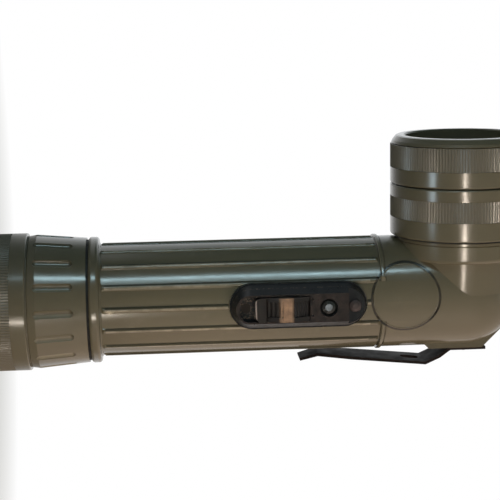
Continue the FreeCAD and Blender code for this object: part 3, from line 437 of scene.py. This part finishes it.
diffuser = {
    "tone": (0.80, 0.80, 0.77),
    "light": (0.88, 0.88, 0.86),
    "clouds": (70, 4),
    "through": 0.35,
    "haze": (160, 4),
    "gloss": (0.30, 0.50),
}


def whiteDiffuser(name, look):
    made = Finish(name)
    clouds = made.spread(made.noise(*look["clouds"]), 0, 1)
    made.put("Base Color", made.blend(clouds, look["tone"], look["light"]))
    made.put("Transmission Weight", look["through"])
    made.put("Roughness", made.spread(made.noise(*look["haze"]), *look["gloss"]))
    return made.material


rubberGrain = {
    "bloom": (180, 6, 0.7),
    "bloomShare": 0.6,
    "bloomFrom": 0.45,
    "bloomTo": 0.8,
    "polish": (300, 4),
    "gloss": (0.60, 0.85),
    "skin": (1800, 3),
    "strength": 0.25,
    "depth": 0.00008,
}
rubbers = {
    "blackRubber": {"tone": (0.006, 0.006, 0.006), "bloom": (0.020, 0.019, 0.017)},
    "dustyRubber": {"tone": (0.090, 0.078, 0.055), "bloom": (0.12, 0.105, 0.075)},
}


def rubber(name, look):
    grain = rubberGrain
    made = Finish(name)
    bloom = made.spread(made.noise(*grain["bloom"]), 0, grain["bloomShare"], grain["bloomFrom"],
                        grain["bloomTo"])
    made.put("Base Color", made.blend(bloom, look["tone"], look["bloom"]))
    made.put("Roughness", made.spread(made.noise(*grain["polish"]), *grain["gloss"]))
    made.put("Normal", made.bump(made.noise(*grain["skin"]), grain["strength"], grain["depth"]))
    return made.material


fibre = {
    "weave": (700, 4, 0.6),
    "along": (1, 0.15, 1),
    "tone": (0.20, 0.10, 0.045),
    "light": (0.30, 0.17, 0.08),
    "gloss": (0.5, 0.7),
    "strength": 0.2,
    "depth": 0.0001,
}


def fibreBoard(name, look):
    made = Finish(name)
    weave = made.noise(*look["weave"], made.stretched(look["along"]))
    made.put("Base Color", made.blend(made.spread(weave, 0, 1), look["tone"], look["light"]))
    made.put("Roughness", made.spread(weave, *look["gloss"]))
    made.put("Normal", made.bump(weave, look["strength"], look["depth"]))
    return made.material


# Cell jacket in two plain bands: a dark body and a coppery collar at the terminal end
jacket = {
    "collarFrom": 44.0,          # heights above the cell's foot
    "footTo": 0.9,
    "topFrom": 58.6,
    "body": (0.018, 0.018, 0.020),
    "collar": (0.50, 0.25, 0.10),
    "steel": (0.58, 0.57, 0.55),
    "specks": (420, 5),
    "speckShare": 0.3,
    "speckFrom": 0.5,
    "speckTo": 0.8,
    "speck": (0.09, 0.08, 0.075),
    "polish": (240, 5),
    "gloss": (0.22, 0.36),
}


def cellJacket(name, look, cell):
    made = Finish(name)
    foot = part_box(cell)[0].z
    x, y, z = made.axes()
    ends = made.maths("MAXIMUM", made.maths("LESS_THAN", z, foot + look["footTo"] * mm),
                      made.maths("GREATER_THAN", z, foot + look["topFrom"] * mm))
    collar = made.maths("GREATER_THAN", z, foot + look["collarFrom"] * mm)
    wrap = made.blend(collar, look["body"], look["collar"])
    speck = made.spread(made.noise(*look["specks"]), 0, look["speckShare"], look["speckFrom"],
                        look["speckTo"])
    made.put("Base Color", made.blend(ends, made.blend(speck, wrap, look["speck"]), look["steel"]))
    made.put("Metallic", ends)
    made.put("Roughness", made.spread(made.noise(*look["polish"]), *look["gloss"]))
    return made.material


# Switch plate: painted light, the sides a bluish black (painted shade with a cool painted sheen) and the top
# a lighter brown that varies in random patches; dust lies on the track's floor
plate = {
    "side": (0.006, 0.007, 0.009),
    "top": (0.030, 0.020, 0.018),
    "dark": (0.007, 0.006, 0.006),
    "topFrom": 25.75,
    "topTo": 25.95,
    "rub": (420, 6, 0.7),
    "rubFrom": 0.35,
    "rubTo": 0.65,
    "dust": (0.16, 0.115, 0.085),
    "floorLow": 22.3,
    "floorHigh": 22.8,
    "specks": (1300, 5, 0.7),
    "speckFrom": 0.5,
    "speckTo": 0.68,
    "polish": (260, 5),
    "gloss": (0.24, 0.50),
    "shine": 0.35,
    "skin": (1100, 4),
    "strength": 0.40,
    "depth": 0.00010,
}


def platePlastic(name, look):
    made = Finish(name)
    x, y, z = made.axes()
    rub = made.spread(made.noise(*look["rub"]), 0, 1, look["rubFrom"], look["rubTo"])
    top = made.spread(x, 0, 1, look["topFrom"] * mm, look["topTo"] * mm)
    # Painted light: the top lighter and browner than the bluish black sides
    tone = made.blend(top, look["side"], made.blend(rub, look["dark"], look["top"]))
    specks = made.spread(made.noise(*look["specks"]), 0, 1, look["speckFrom"], look["speckTo"])
    dusty = made.maths("MULTIPLY", made.between(x, look["floorLow"], look["floorHigh"]), specks)
    made.put("Base Color", made.blend(dusty, tone, look["dust"]))
    made.put("Roughness", made.spread(made.noise(*look["polish"]), *look["gloss"]))
    made.put("Specular IOR Level", look["shine"])
    made.put("Normal", made.bump(made.noise(*look["skin"]), look["strength"], look["depth"]))
    return made.material


# Slider: painted highlights, a warm patchy one on the saddle where the thumb goes and a pale one along the
# bar's rear edge
slider = {
    "dark": (0.008, 0.007, 0.007),
    "tone": (0.018, 0.014, 0.013),
    "mottle": (300, 5),
    "saddleHighlight": (0.30, 0.18, 0.115),
    "saddleHighlightFrom": 26.4,
    "saddleHighlightTo": 27.9,
    "middle": 111.8,
    "half": 2.7,
    "core": 0.6,
    "patches": (420, 6),
    "patchLeast": 0.45,
    "edgeHighlight": (0.34, 0.27, 0.25),
    "edgeMiddle": 101.5,
    "edgeHalf": 0.55,
    "edgeCore": 0.5,
    "edgeFrom": 26.2,
    "edgePatches": (900, 4),
    "edgeLeast": 0.3,
    "polish": (500, 5),
    "gloss": (0.28, 0.48),
    "shine": 0.40,
    "skin": (1500, 3),
    "strength": 0.15,
    "depth": 0.00006,
}


def sliderPlastic(name, look):
    made = Finish(name)
    x, y, z = made.axes()
    high = made.spread(x, 0, 1, look["saddleHighlightFrom"] * mm, look["saddleHighlightTo"] * mm)
    saddleHighlight = made.maths("MULTIPLY", high, made.near(z, look["middle"], look["half"], look["core"]))
    saddleHighlight = made.maths("MULTIPLY", saddleHighlight, made.spread(made.noise(*look["patches"]), look["patchLeast"], 1.0))
    edge = made.maths("MULTIPLY", made.near(z, look["edgeMiddle"], look["edgeHalf"], look["edgeCore"]),
                      made.maths("GREATER_THAN", x, look["edgeFrom"] * mm))
    edge = made.maths("MULTIPLY", edge, made.spread(made.noise(*look["edgePatches"]), look["edgeLeast"], 1.0))
    tone = made.blend(made.spread(made.noise(*look["mottle"]), 0, 1), look["dark"], look["tone"])
    # Painted highlights on the saddle and the bar's rear edge, over the mottled tone
    made.put("Base Color", made.blend(edge, made.blend(saddleHighlight, tone, look["saddleHighlight"]), look["edgeHighlight"]))
    made.put("Roughness", made.spread(made.noise(*look["polish"]), *look["gloss"]))
    made.put("Specular IOR Level", look["shine"])
    made.put("Normal", made.bump(made.noise(*look["skin"]), look["strength"], look["depth"]))
    return made.material


button = {
    "dark": (0.008, 0.008, 0.008),
    "tone": (0.020, 0.020, 0.019),
    "mottle": (500, 4),
    "polish": (700, 4),
    "gloss": (0.08, 0.20),
    "coat": 0.4,
    "coatRough": 0.05,
}


def buttonPlastic(name, look):
    made = Finish(name)
    mottle = made.spread(made.noise(*look["mottle"]), 0, 1)
    made.put("Base Color", made.blend(mottle, look["dark"], look["tone"]))
    made.put("Roughness", made.spread(made.noise(*look["polish"]), *look["gloss"]))
    made.put("Coat Weight", look["coat"])
    made.put("Coat Roughness", look["coatRough"])
    return made.material


def plasticNamed(name):
    return plastic(name, plastics[name])


def metalNamed(name):
    return metal(name, metals[name])


def glassNamed(name):
    return glass(name, glasses[name])


def rubberNamed(name):
    return rubber(name, rubbers[name])


print("materials")
olive = plasticNamed("olivePlastic")
knurlLightenedOlive = plasticNamed("knurlLightenedPlastic")
finishes = [
    (plasticNamed("casePlastic"), ["case"]),
    (plasticNamed("capPlastic"), ["tail_cap"]),
    (olive, ["lens_ring", "filter_ring", "end_cap"]),
    (platePlastic("platePlastic", plate), ["switch_plate"]),
    (plasticNamed("blackPlastic"), ["bulb_holder"]),
    (sliderPlastic("sliderPlastic", slider), ["switch_slider"]),
    (buttonPlastic("buttonPlastic", button), ["morse_button"]),
    (metalNamed("blackSteel"), ["belt_clip"]),
    (metalNamed("rivetSteel"), ["clip_rivets", "switch_rivets"]),
    (metalNamed("brightSteel"), ["battery_spring", "tail_contact", "hanger_ring", "hanger_strap",
                                 "hanger_rivets"]),
    (metalNamed("brass"), ["centre_rivet", "top_leaf", "lower_strip", "upper_strip", "slider_contact",
                           "signal_leaf", "bulb_base", "holder_contact", "spare_bulb_base"]),
    (rubberNamed("blackRubber"), ["tail_gasket", "head_gasket", "lens_gasket", "filter_gasket",
                                 "bulb_cradle"]),
    (rubberNamed("dustyRubber"), ["end_gasket"]),
    (glassNamed("clearGlass"), ["lens", "bulb_glass", "spare_bulb_glass"]),
    (glassNamed("redGlass"), ["red_filter"]),
    (glassNamed("blueGlass"), ["blue_filter"]),
    (whiteDiffuser("whiteDiffuser", diffuser), ["diffuser_filter"]),
    (metalNamed("silvered"), ["reflector"]),
    (fibreBoard("fibreBoard", fibre), ["contact_disc"]),
    (cellJacket("rearCellJacket", jacket, "rear_cell"), ["rear_cell"]),
    (cellJacket("frontCellJacket", jacket, "front_cell"), ["front_cell"]),
]
for finish, names in finishes:
    for name in names:
        for slot in nodes[name].material_slots:
            slot.material = finish


def addMesh(name, points, faces, finish, body, smooth=False):
    mesh = bpy.data.meshes.new(name)
    mesh.from_pydata(points, [], faces)
    mesh.validate()
    mesh.materials.append(finish)
    for face in mesh.polygons:
        face.use_smooth = smooth
    piece = bpy.data.objects.new(name, mesh)
    bpy.context.scene.collection.objects.link(piece)
    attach(piece, body)
    return piece


# Lays a point drawn forward along +Z on the lens axis, forward being -Y
def onLensAxis(point):
    x, y, z = point
    return (x, -z, lensAxis + y)


def asDrawn(point):
    return point


# Fine straight knurls: a ridge is four points round the axis, each with its share of the ridge's height
ridge = (0.0, 0.55, 1.0, 0.55)
ringKnurl = {"inner": 24.3, "foot": 24.92, "crest": 25.18, "ridges": 152, "chamfer": 0.1}
capKnurl = {"inner": 23.5, "foot": 23.66, "crest": 23.88, "ridges": 150, "chamfer": 0.1}
knurls = {
    "lens_ring_knurl": dict(ringKnurl, low=26.9, high=34.1, lay=onLensAxis, body="lens_ring"),
    "filter_ring_knurl": dict(ringKnurl, low=44.1, high=52.15, lay=onLensAxis, body="filter_ring"),
    "end_cap_knurl": dict(capKnurl, low=4.2, high=19.4, lay=asDrawn, body="end_cap"),
}


# Closed sleeve of ridges round the axis, its two ends chamfered
def addKnurl(name, look):
    steps = look["ridges"] * len(ridge)
    rise = look["crest"] - look["foot"]
    low, high = look["low"], look["high"]
    points = []

    def addLoop(radii, z):
        for index in range(steps):
            angle = 2 * math.pi * index / steps
            radius = radii[index % len(ridge)]
            points.append(look["lay"]((radius * math.cos(angle) * mm, radius * math.sin(angle) * mm, z * mm)))

    foot = [look["foot"]] * len(ridge)
    ridged = [look["foot"] + share * rise for share in ridge]
    inner = [look["inner"]] * len(ridge)
    loops = [
        (foot, low),
        (ridged, low + look["chamfer"]),
        (ridged, high - look["chamfer"]),
        (foot, high),
        (inner, high),
        (inner, low),
    ]
    for radii, z in loops:
        addLoop(radii, z)
    faces = []
    for row in range(len(loops)):
        here = row * steps
        there = ((row + 1) % len(loops)) * steps
        for index in range(steps):
            after = (index + 1) % steps
            faces.append((here + index, here + after, there + after, there + index))
    return addMesh(name, points, faces, knurlLightenedOlive, look["body"])


print("knurls")
for name, look in knurls.items():
    addKnurl(name, look)


# Fine raised bead just inside the round mark's groove, on the head's round side of radius head
markBead = dict(mark, radius=11.15, wire=0.22, sunk=0.08, head=19.7, steps=120, sides=10)


def addMarkBead(look):
    points = []
    faces = []
    steps, sides = look["steps"], look["sides"]
    count = steps * sides
    for index in range(steps):
        angle = 2 * math.pi * index / steps
        for side in range(sides):
            turn = 2 * math.pi * side / sides
            reach = look["radius"] + look["wire"] * math.cos(turn)
            y = look["across"] + reach * math.cos(angle)
            z = look["height"] + reach * math.sin(angle)
            x = math.sqrt(look["head"] ** 2 - y ** 2) - look["sunk"] + look["wire"] * math.sin(turn)
            points.append((x * mm, y * mm, z * mm))
            here = index * sides + side
            after = index * sides + (side + 1) % sides
            faces.append((here, after, (after + sides) % count, (here + sides) % count))
    return addMesh("mark_bead", points, faces, olive, "case", True)


print("mark")
addMarkBead(markBead)


studio = {
    "white": 1.0,
    "shade": (0.015, 0.045, 0.055),      # surround on the lens side, in front
    "middle": (0.16, 0.205, 0.19),
    "warm": (0.95, 0.76, 0.64),          # surround on the clip side
    "behindFrom": -0.45,                 # towards -X, as a share of a direction
    "behindTo": -0.95,
}
floor = {
    "tone": (0.80, 0.80, 0.79),
    "light": (0.84, 0.84, 0.83),
    "bounce": (0.26, 0.26, 0.26),        # floor as it lights the lamp's underside
    "mottle": (30, 3),
    "polish": (60, 3),
    "gloss": (0.8, 0.95),
    "reach": 3.0,
    "sides": 96,
    "height": -0.0002,
    "fadeFrom": 0.05,                    # into plain white, from the middle out
    "fadeTo": 0.20,
    "behindFrom": -0.05,
    "behindTo": -0.40,
}
lamps = {
    "key": {
        "place": (0.48, 0.60, 0.20),
        "aim": (0, 0, 0.10),
        "size": (0.45, 0.5),
        "colour": (1.0, 0.90, 0.80),
        "power": 4.4,
        "spread": 180,
        "glossy": False,
    },
    "barrelFill": {
        "place": (0.40, 0.06, 0.10),
        "aim": (0, 0, 0.098),
        "size": (0.05, 0.05),
        "colour": (1.0, 0.92, 0.70),
        "power": 0.0062,
        "spread": 22,
        "glossy": False,
    },
    "strip": {
        "place": (0.30, -0.36, 0.115),
        "aim": (0, 0, 0.10),
        "size": (0.032, 0.26),
        "colour": (0.62, 0.90, 1.0),
        "power": 0.24,
        "spread": 120,
        "glossy": True,
    },
    "ringSpot": {
        "place": (0.40, 0.010, 0.125),
        "aim": (0, -0.035, 0.19),
        "size": (0.04, 0.022),
        "colour": (1.0, 0.86, 0.72),
        "power": 0.0013,
        "spread": 16,
        "glossy": True,
    },
    "collarSpot": {
        "place": (0.40, 0.050, 0.125),
        "aim": (0, -0.018, 0.19),
        "size": (0.04, 0.022),
        "colour": (1.0, 0.86, 0.72),
        "power": 0.0017,
        "spread": 16,
        "glossy": True,
    },
    "throatSpot": {
        "place": (0.40, 0.150, 0.125),
        "aim": (0, -0.006, 0.19),
        "size": (0.06, 0.022),
        "colour": (1.0, 0.86, 0.72),
        "power": 0.0018,
        "spread": 16,
        "glossy": True,
    },
    "buttonSpot": {
        "place": (0.40, 0.083, 0.168),
        "aim": (0.026, 0, 0.126),
        "size": (0.014, 0.014),
        "colour": (0.90, 0.97, 1.0),
        "power": 0.000009,
        "spread": 8,
        "glossy": True,
    },
    "tailSpot": {
        "place": (0.40, 0.159, 0.012),
        "aim": (0, 0, 0.035),
        "size": (0.025, 0.03),
        "colour": (1.0, 0.90, 0.78),
        "power": 0.0035,
        "spread": 24,
        "glossy": True,
    },
    "lowSpot": {
        "place": (0.105, -0.019, 0.017),
        "aim": (0, -0.04, 0.17),
        "size": (0.034, 0.03),
        "colour": (0.72, 0.90, 1.0),
        "power": 0.0022,
        "spread": 50,
        "glossy": True,
    },
    "capSpot": {
        "place": (0.165, 0.062, 0.0072),
        "aim": (0, 0, 0.022),
        "size": (0.012, 0.012),
        "colour": (1.0, 0.88, 0.74),
        "power": 0.0012,
        "spread": 60,
        "glossy": True,
    },
    "back": {
        "place": (-0.65, -0.25, 0.35),
        "aim": (0, 0, 0.10),
        "size": (0.8, 0.8),
        "colour": (0.75, 0.90, 1.0),
        "power": 0.4,
        "spread": 180,
        "glossy": True,
    },
    "top": {
        "place": (-0.10, 0.05, 0.90),
        "aim": (0, 0, 0.10),
        "size": (0.6, 0.6),
        "colour": (0.80, 0.93, 1.0),
        "power": 0.7,
        "spread": 180,
        "glossy": True,
    },
}


def addLamp(name, look):
    data = bpy.data.lights.new(name, "AREA")
    data.shape = "RECTANGLE"
    data.size, data.size_y = look["size"]
    data.color = look["colour"]
    data.energy = look["power"]
    data.spread = math.radians(look["spread"])
    lamp = bpy.data.objects.new(name, data)
    lamp.location = look["place"]
    aim = Vector(look["aim"]) - Vector(look["place"])
    lamp.rotation_euler = aim.to_track_quat("-Z", "Y").to_euler()
    lamp.visible_camera = False
    lamp.visible_glossy = look["glossy"]
    bpy.context.scene.collection.objects.link(lamp)


# Where a backdrop is plain white: to the eye and through glass, and behind the lamp in reflections
def whiteShare(made, x, look):
    path = made.add("LightPath").outputs
    direct = made.maths("MAXIMUM", path["Is Camera Ray"], path["Is Transmission Ray"])
    behind = made.spread(x, 0, 1, look["behindFrom"], look["behindTo"])
    mirrored = made.maths("MULTIPLY", path["Is Glossy Ray"], behind)
    return direct, made.maths("MAXIMUM", direct, mirrored)


def addWorld(look):
    world = bpy.data.worlds.new("studio")
    bpy.context.scene.world = world
    world.use_nodes = True
    world.node_tree.nodes.clear()
    made = Nodes(world.node_tree, "Generated")
    x, y, z = made.axes()
    seen = made.add("Background")
    made.feed(seen.inputs["Color"], (1, 1, 1))
    made.feed(seen.inputs["Strength"], look["white"])
    soft = made.add("Background")
    across = made.spread(y, 0, 1, -1, 1)
    made.feed(soft.inputs["Color"], made.ramp(across, (look["shade"], look["middle"], look["warm"])))
    direct, white = whiteShare(made, x, look)
    mix = made.add("MixShader")
    made.feed(mix.inputs["Fac"], white)
    made.feed(mix.inputs[1], soft.outputs["Background"])
    made.feed(mix.inputs[2], seen.outputs["Background"])
    made.feed(made.add("OutputWorld").inputs["Surface"], mix.outputs["Shader"])


# Pale paper that fades into the white surround
def floorPaper(look):
    made = Finish("floorPaper")
    x, y, z = made.axes()
    direct, white = whiteShare(made, x, look)
    paper = made.blend(made.spread(made.noise(*look["mottle"]), 0, 1), look["tone"], look["light"])
    made.put("Base Color", made.blend(direct, look["bounce"], paper))
    made.put("Roughness", made.spread(made.noise(*look["polish"]), *look["gloss"]))
    glow = made.add("Emission")
    made.feed(glow.inputs["Color"], (1, 1, 1))
    made.feed(glow.inputs["Strength"], studio["white"])
    far = made.add("VectorMath", operation="LENGTH")
    made.link(made.place, far.inputs[0])
    fade = made.spread(far.outputs["Value"], 0, 1, look["fadeFrom"], look["fadeTo"])
    mix = made.add("MixShader")
    made.feed(mix.inputs["Fac"], made.maths("MULTIPLY", fade, white))
    made.feed(mix.inputs[1], made.shader.outputs["BSDF"])
    made.feed(mix.inputs[2], glow.outputs["Emission"])
    made.feed(made.tree.nodes["Material Output"].inputs["Surface"], mix.outputs["Shader"])
    return made.material


def addFloor(look):
    points = [(0, 0, 0)]
    count = look["sides"]
    for index in range(count):
        angle = 2 * math.pi * index / count
        points.append((look["reach"] * math.cos(angle), look["reach"] * math.sin(angle), 0))
    faces = [(0, 1 + index, 1 + (index + 1) % count) for index in range(count)]
    mesh = bpy.data.meshes.new("floor")
    mesh.from_pydata(points, [], faces)
    mesh.materials.append(floorPaper(look))
    piece = bpy.data.objects.new("floor", mesh)
    piece.location = (0, 0, look["height"])
    bpy.context.scene.collection.objects.link(piece)


addWorld(studio)
addFloor(floor)
for name, look in lamps.items():
    addLamp(name, look)
bpy.context.scene.view_settings.view_transform = "Standard"
print("studio")

bpy.context.view_layer.update()
